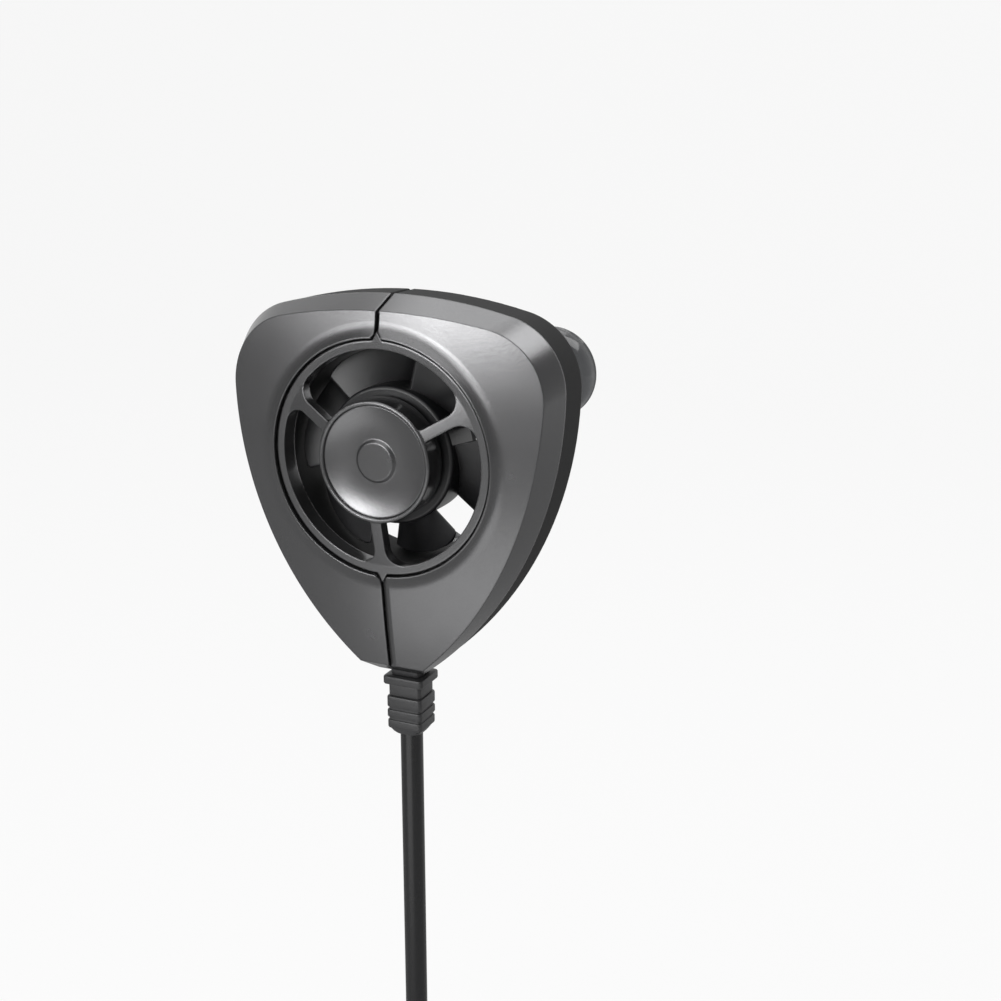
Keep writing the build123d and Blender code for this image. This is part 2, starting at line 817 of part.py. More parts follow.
# Stator: laminated core with one winding round each pole.
with BuildPart() as stator_core:
    with BuildSketch(seat_plane.offset(core_base)):
        Circle(stator_radius)
        Circle(shoe_inner, mode=Mode.SUBTRACT)
        with PolarLocations(stator_radius, pole_count, start_angle=180 / pole_count):
            Rectangle(2 * shoe_thickness + shoe_gap, shoe_gap, mode=Mode.SUBTRACT)
        Circle(core_ring)
        with PolarLocations(0, pole_count):
            Rectangle(shoe_inner + shoe_thickness / 2, pole_width, align=(Align.MIN, Align.CENTER))
        Circle(core_bore, mode=Mode.SUBTRACT)
    extrude(amount=core_height)
stator_core.part.label = "stator_core"
export_step(stator_core.part, "parts/stator_core.step")

with BuildPart() as stator_coils:
    coil_start_r = core_ring + coil_fit
    for pole in range(pole_count):
        turn = radians(360 * pole / pole_count)
        pole_plane = Plane(
            origin=(coil_start_r * cos(turn), 0, coil_start_r * sin(turn)),
            x_dir=(-sin(turn), 0, cos(turn)),
            z_dir=(cos(turn), 0, sin(turn)),
        )
        with BuildSketch(pole_plane):
            with Locations((0, core_base + core_height / 2)):
                RectangleRounded(pole_width + 2 * winding, core_height + 2 * winding, winding)
                Rectangle(pole_width + 2 * coil_fit, core_height + 2 * coil_fit, mode=Mode.SUBTRACT)
        # the winding stops where its sides would reach the curved shoes
        coil_end_r = sqrt(shoe_inner**2 - (pole_width / 2 + winding) ** 2) - coil_fit
        extrude(amount=coil_end_r - coil_start_r)
stator_coils.part.label = "stator_coils"
export_step(stator_coils.part, "parts/stator_coils.step")

with BuildPart() as driver_board:
    with BuildSketch(seat_plane.offset(floor_top)):
        Circle(board_radius)
        Circle(tube_radius + board_fit, mode=Mode.SUBTRACT)
    extrude(amount=board_thickness)
driver_board.part.label = "driver_board"
export_step(driver_board.part, "parts/driver_board.step")

with BuildPart() as board_parts:
    with BuildSketch(seat_plane.offset(board_top)):
        middle_ring = (tube_radius + board_radius) / 2
        with PolarLocations(middle_ring, 1, start_angle=45):
            Rectangle(chip_size, chip_size)
        with PolarLocations(middle_ring, 1, start_angle=135):
            Rectangle(sensor_size, sensor_size)
        with PolarLocations(middle_ring, 2, start_angle=215, angular_range=110):
            Rectangle(capacitor_width, capacitor_length)
    extrude(amount=chip_height)
board_parts.part.label = "board_parts"
export_step(board_parts.part, "parts/board_parts.step")

# Four cover screws, driven from the back.
screw_back = back_height + screw_sink
screw_seat = screw_back + screw_head_height
with BuildPart() as cover_screws:
    with BuildSketch(seat_plane.offset(screw_back)):
        with Locations(*boss_places):
            Circle(screw_head_radius)
    extrude(amount=screw_head_height)
    fillet(cover_screws.edges().group_by(fan_axis)[0], radius=head_round)
    with BuildSketch(seat_plane.offset(screw_seat)):
        with Locations(*boss_places):
            Circle(screw_radius)
    extrude(amount=screw_length)
    with BuildSketch(seat_plane.offset(screw_back)):
        with Locations(*boss_places):
            Rectangle(cross_length, cross_width)
            Rectangle(cross_width, cross_length)
    extrude(amount=cross_depth, mode=Mode.SUBTRACT)
cover_screws.part.label = "cover_screws"
export_step(cover_screws.part, "parts/cover_screws.step")


def cup_section():
    """Half section of a suction cup: distance from its own axis, and height."""
    with BuildSketch() as half:
        with BuildLine():
            hollow = ThreePointArc(
                (0, cup_hollow),
                ((cup_radius - cup_rim) * cup_bulge_share, cup_hollow * cup_crown_share),
                (cup_radius - cup_rim, 0),
            )
            edge = Polyline(hollow @ 1, (cup_radius, 0), (cup_radius, cup_edge))
            bulge = ThreePointArc(
                edge @ 1,
                (
                    cup_collar_radius + (cup_radius - cup_collar_radius) * cup_bulge_share,
                    cup_edge + (cup_dome - cup_edge) * cup_crown_share,
                ),
                (cup_collar_radius, cup_dome),
            )
            knob_base = floor_top + cup_knob_play
            Polyline(
                bulge @ 1,
                (cup_collar_radius, back_height),
                (cup_neck_radius, back_height),
                (cup_neck_radius, knob_base),
                (cup_knob_radius, knob_base),
                (cup_knob_radius, knob_base + cup_knob_height),
                (0, knob_base + cup_knob_height),
                hollow @ 0,
            )
        make_face()
        fillet(half.vertices().group_by(Axis.Y)[-1].sort_by(Axis.X)[-1], radius=cup_knob_round)
    return half.sketch


# Suction cups, each with its neck through the floor and its knob inside.
for cup_name, cup_number in (("right", 0), ("left", 1), ("bottom", 2)):
    cup_turn = radians(spoke_start + cup_number * 360 / spoke_count)
    cup_x = cup_distance * cos(cup_turn)
    cup_z = cup_distance * sin(cup_turn)
    with BuildPart() as suction_cup:
        with BuildSketch(Plane(origin=(cup_x, 0, cup_z), x_dir=(1, 0, 0), z_dir=(0, 0, -1))):
            add(cup_section())
        revolve(axis=Axis((cup_x, 0, cup_z), (0, -1, 0)))
    suction_cup.part.label = "suction_cup_" + cup_name
    export_step(suction_cup.part, "parts/suction_cup_" + cup_name + ".step")

# Strain relief: stacked rectangular blocks from the inside of the housing downwards.
neck_length = foot_wall + relief_gap
relief_blocks = [
    (inner_flange_width, inner_flange_depth, inner_flange_length),
    (relief_neck_width, relief_neck_depth, neck_length),
    (outer_flange_width, outer_flange_depth, outer_flange_length),
    (waist_width, waist_depth, waist_length),
]
for rib in range(rib_count):
    relief_blocks.append((rib_width, rib_depth, rib_length))
    if rib < rib_count - 1:
        relief_blocks.append((rib_width - 2 * rib_groove_depth, rib_depth - 2 * rib_groove_depth, rib_groove))
relief_top = inner_flange_length - foot_inner
with BuildPart() as strain_relief:
    block_top = relief_top
    for block_width, block_depth, block_length in relief_blocks:
        with BuildSketch(Plane(origin=(0, -relief_height, block_top), x_dir=(1, 0, 0), z_dir=(0, 0, -1))):
            RectangleRounded(block_width, block_depth, relief_corner)
        extrude(amount=block_length)
        block_top -= block_length
    # nose, drawn in to the cord
    with BuildSketch(Plane(origin=(0, -relief_height, block_top), x_dir=(1, 0, 0), z_dir=(0, 0, -1))):
        RectangleRounded(rib_width, rib_depth, relief_corner)
    with BuildSketch(Plane(origin=(0, -relief_height, block_top - nose_length), x_dir=(1, 0, 0), z_dir=(0, 0, -1))):
        RectangleRounded(2 * nose_radius, 2 * nose_radius, relief_corner)
    loft(ruled=True)
relief_end = block_top - nose_length
strain_relief.part.label = "strain_relief"
export_step(strain_relief.part, "parts/strain_relief.step")

# Two lead wires, from the strain relief past the knob of the lowest cup to the board.
lead_height = floor_top + lead_lift + lead_radius
lead_out = cup_knob_radius + lead_pass
with BuildPart() as lead_wires:
    for way in (1, -1):
        lead_x = way * lead_spacing / 2
        stops = [
            (lead_x, -relief_height, relief_top),
            (lead_x, -relief_height, relief_top + lead_run),
            (way * lead_out, -lead_height, -cup_distance - cup_knob_radius),
            (way * lead_out, -lead_height, -cup_distance + cup_knob_radius),
            (lead_x, -lead_height, -duct_radius - duct_wall),
            (lead_x, -lead_height, -board_radius - board_fit),
        ]
        with BuildLine() as lead_path:
            runs = [(Vector(*stops[k + 1]) - Vector(*stops[k])) for k in range(len(stops) - 1)]
            radii = []
            for k in range(len(runs) - 1):
                shorter = min(runs[k].length, runs[k + 1].length)
                radii.append(0.45 * shorter / tan(radians(runs[k].get_angle(runs[k + 1])) / 2))
            FilletPolyline(*stops, radius=radii)
        print("lead radii", [round(radius, 2) for radius in radii])
        with BuildSketch(Plane(origin=stops[0], x_dir=(1, 0, 0), z_dir=(0, 0, 1))):
            Circle(lead_radius)
        sweep(path=lead_path.wire())
lead_wires.part.label = "lead_wires"
export_step(lead_wires.part, "parts/lead_wires.step")

# The cord hangs straight from the strain relief, is wound in a coil of turns in two
# layers, and hangs straight again from the coil to the plug.
cord_start = Vector(0, -relief_height, relief_end)
cord_end = cord_start - Vector(0, 0, cord_drop)
with BuildPart() as cord:
    with BuildLine() as cord_path:
        Line(cord_start, cord_end)
    with BuildSketch(Plane(origin=cord_start, x_dir=(1, 0, 0), z_dir=(0, 0, -1))):
        Circle(cord_radius)
    sweep(path=cord_path.wire())
cord.part.label = "cord"
export_step(cord.part, "parts/cord.step")

# The bend from the straight drop into the outer turn, and the middle of the coil.
bend_turn = radians(180 - coil_start)
bend_radius = -ring_radius * cos(radians(coil_start)) / (1 - cos(bend_turn))
bend_top = cord_end.Z - 2 * cord_radius
coil_centre = bend_top - bend_radius * sin(bend_turn) - ring_radius * sin(radians(coil_start))
coil_turn = 2 * cord_radius + coil_play
coil_layer = 2 * cord_radius + coil_play
climb_from = coil_start + 360 * turns_in
climb_to = climb_from + 180
spiral_end = climb_to + 360 * turns_out
inner_radius = ring_radius - coil_turn * turns_in


def coil_spot(angle):
    """Distance from the coil's middle and height of the cord at an angle along the coil."""
    if angle <= climb_from:
        return ring_radius - coil_turn * (angle - coil_start) / 360, relief_height
    if angle <= climb_to:
        climb = (angle - climb_from) / (climb_to - climb_from)
        return inner_radius, relief_height - coil_layer * climb
    return inner_radius + coil_turn * (angle - climb_to) / 360, relief_height - coil_layer


def coil_point(angle):
    """The cord's middle at an angle along the coil."""
    distance, height = coil_spot(angle)
    around = radians(angle)
    return Vector(distance * cos(around), -height, coil_centre + distance * sin(around))


def biarc(start, start_way, end, end_way):
    """Two arcs that leave start along start_way, meet, and reach end along end_way."""
    gap = end - start
    both = start_way + end_way
    spread = 2 * (1 - start_way.dot(end_way))
    reach = (-gap.dot(both) + sqrt(gap.dot(both) ** 2 + spread * gap.dot(gap))) / spread
    meet_from = start + start_way * reach
    meet_to = end - end_way * reach
    meet = (meet_from + meet_to) / 2
    TangentArc(start, meet, tangent=start_way)
    TangentArc(meet, end, tangent=meet_to - meet_from)


half_turns = [coil_start + 180 * k for k in range(int((spiral_end - coil_start) / 180) + 1)]
stops = [(coil_point(angle), radians(angle)) for angle in half_turns]
stops.append((coil_point(spiral_end + coil_end - coil_start), radians(coil_end)))
with BuildPart() as cord_coil:
    with BuildLine() as coil_path:
        bend_start = Vector(0, -relief_height, bend_top)
        Line(cord_end, bend_start)
        TangentArc(bend_start, stops[0][0], tangent=(0, 0, -1))
        for (spot, around), (next_spot, next_around) in zip(stops, stops[1:]):
            biarc(
                spot,
                Vector(-sin(around), 0, cos(around)),
                next_spot,
                Vector(-sin(next_around), 0, cos(next_around)),
            )
        tail_start = stops[-1][0] - Vector(0, 0, 2 * cord_radius)
        Line(stops[-1][0], tail_start)
    with BuildSketch(Plane(origin=cord_end, x_dir=(1, 0, 0), z_dir=(0, 0, -1))):
        Circle(cord_radius)
    sweep(path=coil_path.wire())
cord_coil.part.label = "cord_coil"
export_step(cord_coil.part, "parts/cord_coil.step")

# The least gap between turns, measured on points of the path.
coil_wire = coil_path.wire()
sample_count = 900
samples = [coil_wire @ (k / sample_count) for k in range(sample_count + 1)]
skip = int(sample_count * 6 * cord_radius / coil_wire.length) + 1
least = min(
    (samples[k] - samples[m]).length for k in range(len(samples)) for m in range(k + skip, len(samples))
)
print("coil length", round(coil_wire.length, 1), "least gap", round(least - 2 * cord_radius, 2))
print("coil volume share", round(cord_coil.part.volume / (pi * cord_radius**2 * coil_wire.length), 4))
print("bend radius", round(bend_radius, 2), "coil centre", round(coil_centre, 2), "relief end", round(relief_end, 2))

tail_end = tail_start - Vector(0, 0, tail_drop)
with BuildPart() as cord_tail:
    with BuildLine() as tail_path:
        Line(tail_start, tail_end)
    with BuildSketch(Plane(origin=tail_start, x_dir=(1, 0, 0), z_dir=(0, 0, -1))):
        Circle(cord_radius)
    sweep(path=tail_path.wire())
cord_tail.part.label = "cord_tail"
export_step(cord_tail.part, "parts/cord_tail.step")

# Tie: a band round all the turns, at the coil's right.
near_angle = climb_to + 360 - climb_to % 360
near_turn = coil_spot(near_angle)[0]
near_edge = coil_spot(near_angle - degrees(tie_width / 2 / near_turn))[0]
tie_near = sqrt(near_edge**2 - (tie_width / 2) ** 2) - cord_radius - tie_gap
tie_far = coil_spot(360)[0] + cord_radius + tie_gap
tie_high = relief_height + cord_radius + tie_gap
tie_low = relief_height - coil_layer - cord_radius - tie_gap
with BuildPart() as cord_tie:
    with BuildSketch(Plane(origin=(0, 0, coil_centre - tie_width / 2), x_dir=(1, 0, 0), z_dir=(0, 0, 1))):
        with Locations(((tie_near + tie_far) / 2, -(tie_high + tie_low) / 2)):
            tie_length = tie_far - tie_near + 2 * tie_wall
            tie_height = tie_high - tie_low + 2 * tie_wall
            RectangleRounded(tie_length, tie_height, tie_corner + tie_wall)
            RectangleRounded(tie_far - tie_near, tie_high - tie_low, tie_corner, mode=Mode.SUBTRACT)
    extrude(amount=tie_width)
cord_tie.part.label = "cord_tie"
export_step(cord_tie.part, "parts/cord_tie.step")

# Plug grip: a rounded block that narrows to the cord, with grooves for the fingers.
grip_top = tail_end.Z - grip_neck_length
grip_end = grip_top - grip_length
plug_x = tail_end.X
plug_y = tail_end.Y


def plug_plane(level):
    """Plane across the plug at a level, facing down."""
    return Plane(origin=(plug_x, plug_y, level), x_dir=(1, 0, 0), z_dir=(0, 0, -1))


with BuildPart() as plug_grip:
    with BuildSketch(plug_plane(tail_end.Z)):
        RectangleRounded(2 * grip_neck_radius, 2 * grip_neck_radius, grip_neck_radius - grip_round)
    with BuildSketch(plug_plane(grip_top)):
        RectangleRounded(grip_width, grip_depth, grip_corner)
    loft(ruled=True)
    with BuildSketch(plug_plane(grip_top)):
        RectangleRounded(grip_width, grip_depth, grip_corner)
    extrude(amount=grip_length)
    fillet(plug_grip.edges().group_by(Axis.Z)[0], radius=grip_round)
    for groove in range(grip_groove_count):
        groove_level = grip_top - (groove + 1) * grip_groove_pitch
        with BuildSketch(plug_plane(groove_level)):
            Rectangle(2 * grip_width, 2 * grip_depth)
            RectangleRounded(
                grip_width - 2 * grip_groove,
                grip_depth - 2 * grip_groove,
                grip_corner - grip_groove,
                mode=Mode.SUBTRACT,
            )
        extrude(amount=grip_groove_length, mode=Mode.SUBTRACT)
    # pocket that holds the root of the shell
    with BuildSketch(plug_plane(grip_end + shell_sink)):
        Rectangle(shell_width + 2 * shell_fit, shell_depth + 2 * shell_fit)
    extrude(amount=shell_sink, mode=Mode.SUBTRACT)
plug_grip.part.label = "plug_grip"
export_step(plug_grip.part, "parts/plug_grip.step")

# Shell: folded sheet, open at both ends, with two latch holes in each wide face.
shell_top = grip_end + shell_sink
shell_end = shell_top - shell_length
with BuildPart() as plug_shell:
    with BuildSketch(plug_plane(shell_top)):
        RectangleRounded(shell_width, shell_depth, shell_corner)
        RectangleRounded(
            shell_width - 2 * shell_sheet,
            shell_depth - 2 * shell_sheet,
            shell_corner - shell_sheet,
            mode=Mode.SUBTRACT,
        )
    extrude(amount=shell_length)
    latch_plane = Plane(
        origin=(plug_x, plug_y - shell_depth, shell_end + latch_setback), x_dir=(1, 0, 0), z_dir=(0, 1, 0)
    )
    with BuildSketch(latch_plane):
        with GridLocations(latch_pitch, latch_length, 2, 1):
            Rectangle(latch_width, latch_length)
    extrude(amount=2 * shell_depth, mode=Mode.SUBTRACT)
plug_shell.part.label = "plug_shell"
export_step(plug_shell.part, "parts/plug_shell.step")

# Tongue against the shell's front wall, and four contacts on its open face.
tongue_front = plug_y - shell_depth / 2 + shell_sheet
with BuildPart() as plug_tongue:
    with BuildSketch(plug_plane(shell_top)):
        with Locations((0, plug_y - tongue_front - tongue_thickness / 2)):
            Rectangle(shell_width - 2 * shell_corner, tongue_thickness)
    extrude(amount=shell_length - tongue_setback)
plug_tongue.part.label = "plug_tongue"
export_step(plug_tongue.part, "parts/plug_tongue.step")

contact_y = tongue_front + tongue_thickness + contact_thickness / 2
with BuildPart() as plug_contacts:
    with BuildSketch(plug_plane(shell_end + contact_setback + contact_length)):
        for contact_x in (-contact_outer_x, -contact_inner_x, contact_inner_x, contact_outer_x):
            with Locations((contact_x, plug_y - contact_y)):
                Rectangle(contact_width, contact_thickness)
    extrude(amount=contact_length)
plug_contacts.part.label = "plug_contacts"
export_step(plug_contacts.part, "parts/plug_contacts.step")
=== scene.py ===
import math

import bpy
import bmesh
from mathutils import Matrix, Vector


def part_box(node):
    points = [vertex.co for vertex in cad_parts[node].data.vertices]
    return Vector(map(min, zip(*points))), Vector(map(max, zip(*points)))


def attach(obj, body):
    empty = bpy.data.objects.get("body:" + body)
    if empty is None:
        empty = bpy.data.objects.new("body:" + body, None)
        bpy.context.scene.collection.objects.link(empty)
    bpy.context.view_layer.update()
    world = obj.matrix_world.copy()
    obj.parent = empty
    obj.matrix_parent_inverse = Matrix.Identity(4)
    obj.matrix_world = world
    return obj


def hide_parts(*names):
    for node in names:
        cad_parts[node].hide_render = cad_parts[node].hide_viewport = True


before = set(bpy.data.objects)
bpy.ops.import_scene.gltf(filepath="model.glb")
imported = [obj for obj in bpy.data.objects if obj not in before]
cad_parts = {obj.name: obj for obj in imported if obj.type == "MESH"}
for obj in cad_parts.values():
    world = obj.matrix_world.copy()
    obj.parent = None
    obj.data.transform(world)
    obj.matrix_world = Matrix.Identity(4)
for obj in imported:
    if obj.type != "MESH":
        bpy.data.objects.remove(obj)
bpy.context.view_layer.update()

scene = bpy.context.scene
scene.view_settings.view_transform = "Standard"

# Camera: stands to the right of the fan and a little above it, where the side of the body
# and one suction cup come into view.
camera_data = bpy.data.cameras.new("camera")
camera_data.sensor_width = 36
camera_data.lens = 51.70
camera_data.clip_start = 0.01
camera = bpy.data.objects.new("camera", camera_data)
# columns: its right, its up, its back, and the place where it stands in metres
camera.matrix_world = Matrix((
    (0.91217, -0.11131, 0.39440, 0.1093),
    (0.40981, 0.24761, -0.87792, -0.2175),
    (0.00006, 0.96244, 0.27148, 0.0563),
    (0, 0, 0, 1),
))
scene.collection.objects.link(camera)
scene.camera = camera

# Cord: a round 4 mm two-core lead in a black soft PVC jacket, extruded, so it is smooth along
# its length. It hangs straight down from the strain relief, and the length to spare is wound
# in two flat layers of round turns before it runs down into the plug.
cord_diameter = 0.004
cord_depth = 0.0122  # the cord's middle stands this far in front of the cups' rims
relief_end = Vector((0, -cord_depth, -0.0510))
outer_turn = 0.0315  # radius of the outermost turn
turn_pitch = 0.0052  # from one turn to the next
layer_drop = 0.0052  # from the front layer back to the rear one
coil_middle = -0.15149
# Degrees along the coil: three turns inwards in the front layer, half a turn to cross to the
# rear layer, and outwards again up to the left side.
ring_start, climb_from, climb_to, ring_finish = 110, 1190, 1370, 2340


def coil_line(angle):
    """Distance from the coil's middle and depth of the cord at an angle along the coil."""
    inner_turn = outer_turn - turn_pitch * (climb_from - ring_start) / 360
    if angle <= climb_from:
        return outer_turn - turn_pitch * (angle - ring_start) / 360, -cord_depth
    if angle <= climb_to:
        return inner_turn, -cord_depth + layer_drop * (angle - climb_from) / (climb_to - climb_from)
    return inner_turn + turn_pitch * (angle - climb_to) / 360, -cord_depth + layer_drop


# the hanging run in mm, to the right and up, down to where it bends into the coil
hanging_run = (
    (0, -51.0),
    (0, -83.0),
    (0, -102.5),
    (0, -109.0),
    (-1.5, -113.8),
    (-4.4, -118.0),
    (-8.4, -121.0),
)
cord_points = [Vector((x / 1000, relief_end.y, z / 1000)) for x, z in hanging_run]
turn_step = 360 / 16  # sixteen control points a turn
angle = ring_start + turn_step / 2
while angle < ring_finish:
    distance, depth = coil_line(angle)
    # the curve runs inside its control points, so they stand a little outside the turn
    distance /= math.cos(math.radians(turn_step / 2))
    around = math.radians(angle)
    x, z = distance * math.cos(around), coil_middle + distance * math.sin(around)
    cord_points.append(Vector((x, depth, z)))
    angle += turn_step
tail_x = -coil_line(ring_finish)[0]
grip_mouth = -0.18549
tail_levels = (coil_middle - 0.004, coil_middle - 0.014, coil_middle - 0.025, grip_mouth)
for level in tail_levels:
    cord_points.append(Vector((tail_x, -cord_depth + layer_drop, level)))

cord_curve = bpy.data.curves.new("cord_line", "CURVE")
cord_curve.dimensions = "3D"
cord_curve.bevel_depth = 1  # in metres, and each point's radius brings it down to the cord's
cord_curve.bevel_resolution = 8
cord_curve.use_fill_caps = True
spline = cord_curve.splines.new("NURBS")
spline.points.add(len(cord_points) - 1)
for spot, place in zip(spline.points, cord_points):
    spot.co = (*place, 1)
    spot.radius = cord_diameter / 2
spline.order_u = 3
spline.use_endpoint_u = True
spline.resolution_u = 8
cord_line = bpy.data.objects.new("cord_line", cord_curve)
scene.collection.objects.link(cord_line)
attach(cord_line, "housing")
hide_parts("cord", "cord_coil", "cord_tail")


def linear(hex_colour):
    """An sRGB hex colour as the linear values that Blender's sockets take."""
    values = [int(hex_colour[k : k + 2], 16) / 255 for k in (1, 3, 5)]
    return [v / 12.92 if v <= 0.04045 else ((v + 0.055) / 1.055) ** 2.4 for v in values] + [1]


def put(owner, kind, inputs=None, **settings):
    """Adds a node to a material or world, with its settings and its input values or links."""
    made = owner.node_tree.nodes.new(kind)
    for name, value in settings.items():
        setattr(made, name, value)
    for name, value in (inputs or {}).items():
        if isinstance(value, bpy.types.NodeSocket):
            owner.node_tree.links.new(value, made.inputs[name])
        else:
            made.inputs[name].default_value = value
    return made


def bare_finish(name):
    """A new material without nodes."""
    material = bpy.data.materials.new(name)
    material.use_nodes = True
    material.node_tree.nodes.clear()
    return material


def dress(material, *names):
    """Gives CAD nodes or made pieces one material."""
    for name in names:
        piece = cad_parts.get(name) or bpy.data.objects[name]
        piece.data.materials.clear()
        piece.data.materials.append(material)


soft_pvc = bare_finish("soft_pvc_black")
# Extruded soft PVC is an even black with one soft streak of sheen down its length, faintly
# broken by drag marks. They are drawn 0.8 mm long, coarser than real ones, so that they show.
# A pattern's scale is its number of repeats in a metre: 1000 by the size of one in mm.
place = put(soft_pvc, "ShaderNodeTexCoord").outputs["Object"]
drag = put(soft_pvc, "ShaderNodeTexNoise", {"Vector": place, "Scale": 1000 / 0.8, "Detail": 3})
# a colour Mix node's sockets go by number: 0 the share, 6 and 7 the two colours, 2 the result
black = put(
    soft_pvc,
    "ShaderNodeMix",
    {0: drag.outputs["Fac"], 6: linear("#1b1b1c"), 7: linear("#242425")},
    data_type="RGBA",
)
skin = put(soft_pvc, "ShaderNodeBump", {"Height": drag.outputs["Fac"], "Strength": 0.08, "Distance": 0.0002})
jacket = put(
    soft_pvc,
    "ShaderNodeBsdfPrincipled",
    {"Base Color": black.outputs[2], "Roughness": 0.27, "IOR": 1.53, "Normal": skin.outputs[0]},
)
put(soft_pvc, "ShaderNodeOutputMaterial", {"Surface": jacket.outputs[0]})
dress(soft_pvc, "cord_line")

# Cord tie: a strip of black hook-and-loop tape 1.2 mm thick, wrapped once round the coil and
# pressed on itself, so that it takes the coil's rounded section.
tie_low, tie_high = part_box("cord_tie")
tie_thick = 0.0012
tie_corner = 0.0028
tie_middle = ((tie_low[0] + tie_high[0]) / 2, (tie_low[1] + tie_high[1]) / 2)
tie_width = tie_high[0] - tie_low[0]
tie_depth = tie_high[1] - tie_low[1]


def rounded_loop(width, depth, corner, level, middle=(0, 0)):
    """A level loop of points round a rounded rectangle, in metres."""
    corner_points = 6
    loop = []
    for quarter, (side_x, side_y) in enumerate(((1, 1), (-1, 1), (-1, -1), (1, -1))):
        for step in range(corner_points):
            around = math.radians(90 * quarter + 90 * step / (corner_points - 1))
            x = side_x * (width / 2 - corner) + corner * math.cos(around)
            y = side_y * (depth / 2 - corner) + corner * math.sin(around)
            loop.append((middle[0] + x, middle[1] + y, level))
    return loop


def skin_over(loops, closed=False):
    """Points and faces of a skin over loops of equally many points, closed from last to first."""
    count = len(loops[0])
    faces = []
    for row in range(len(loops) if closed else len(loops) - 1):
        low, high = row * count, (row + 1) % len(loops) * count
        for step in range(count):
            after = (step + 1) % count
            faces.append((low + step, low + after, high + after, high + step))
    return [point for loop in loops for point in loop], faces


def make_piece(name, verts, faces, body, sharp_degrees):
    """A mesh object on one body, shaded soft up to an angle between its faces."""
    mesh = bpy.data.meshes.new(name)
    mesh.from_pydata(verts, [], faces)
    work = bmesh.new()
    work.from_mesh(mesh)
    bmesh.ops.recalc_face_normals(work, faces=work.faces)
    work.to_mesh(mesh)
    work.free()
    for face in mesh.polygons:
        face.use_smooth = True
    mesh.set_sharp_from_angle(angle=math.radians(sharp_degrees))
    made = bpy.data.objects.new(name, mesh)
    scene.collection.objects.link(made)
    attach(made, body)
    return made


tie_loops = []
for inset, level in (
    (0, tie_low[2]),
    (0, tie_high[2]),
    (tie_thick, tie_high[2]),
    (tie_thick, tie_low[2]),
):
    width, depth, corner = tie_width - 2 * inset, tie_depth - 2 * inset, tie_corner - inset
    tie_loops.append(rounded_loop(width, depth, corner, level, tie_middle))
verts, faces = skin_over(tie_loops, closed=True)
tie = make_piece("tie_strip", verts, faces, "housing", sharp_degrees=40)
soften = tie.modifiers.new("soften", "BEVEL")
soften.width = 0.0003
soften.segments = 2
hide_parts("cord_tie")
loop_tape = bare_finish("hook_and_loop_tape")
# The tape's loops scatter the light, so it looks greyer and duller than the cord, with a fuzz
# of 0.3 mm and no highlight.
place = put(loop_tape, "ShaderNodeTexCoord").outputs["Object"]
fuzz = put(
    loop_tape, "ShaderNodeTexNoise", {"Vector": place, "Scale": 1000 / 0.3, "Detail": 5, "Roughness": 0.7}
)
tone = put(
    loop_tape,
    "ShaderNodeMix",
    {0: fuzz.outputs["Fac"], 6: linear("#161617"), 7: linear("#38383a")},
    data_type="RGBA",
)
skin = put(loop_tape, "ShaderNodeBump", {"Height": fuzz.outputs["Fac"], "Strength": 0.6, "Distance": 0.0002})
weave = put(
    loop_tape,
    "ShaderNodeBsdfPrincipled",
    {"Base Color": tone.outputs[2], "Roughness": 0.85, "Sheen Weight": 0.3, "Normal": skin.outputs[0]},
)
put(loop_tape, "ShaderNodeOutputMaterial", {"Surface": weave.outputs[0]})
dress(loop_tape, "tie_strip")

# Rear housing: one tray moulded in black ABS, with the fan's duct, the arms that carry the
# motor and the holes for the cups. The covers are screwed to it from behind.
black_abs = bare_finish("black_abs_textured")
# The mould's spark-eroded texture turns reflections into a soft dark sheen. Its grain is drawn
# at 0.3 mm, coarser than the real 0.05 to 0.1 mm, so that it shows.
place = put(black_abs, "ShaderNodeTexCoord").outputs["Object"]
spark = put(
    black_abs, "ShaderNodeTexNoise", {"Vector": place, "Scale": 1000 / 0.3, "Detail": 4, "Roughness": 0.6}
)
tone = put(
    black_abs,
    "ShaderNodeMix",
    {0: spark.outputs["Fac"], 6: linear("#0f0f10"), 7: linear("#1a1a1b")},
    data_type="RGBA",
)
round_edge = put(black_abs, "ShaderNodeBevel", {"Radius": 0.0003}, samples=6)
skin = put(
    black_abs,
    "ShaderNodeBump",
    {"Height": spark.outputs["Fac"], "Normal": round_edge.outputs[0], "Strength": 0.2, "Distance": 0.0001},
)
tray = put(
    black_abs,
    "ShaderNodeBsdfPrincipled",
    {"Base Color": tone.outputs[2], "Roughness": 0.7, "Specular IOR Level": 0.3, "Normal": skin.outputs[0]},
)
put(black_abs, "ShaderNodeOutputMaterial", {"Surface": tray.outputs[0]})
dress(black_abs, "rear_housing")

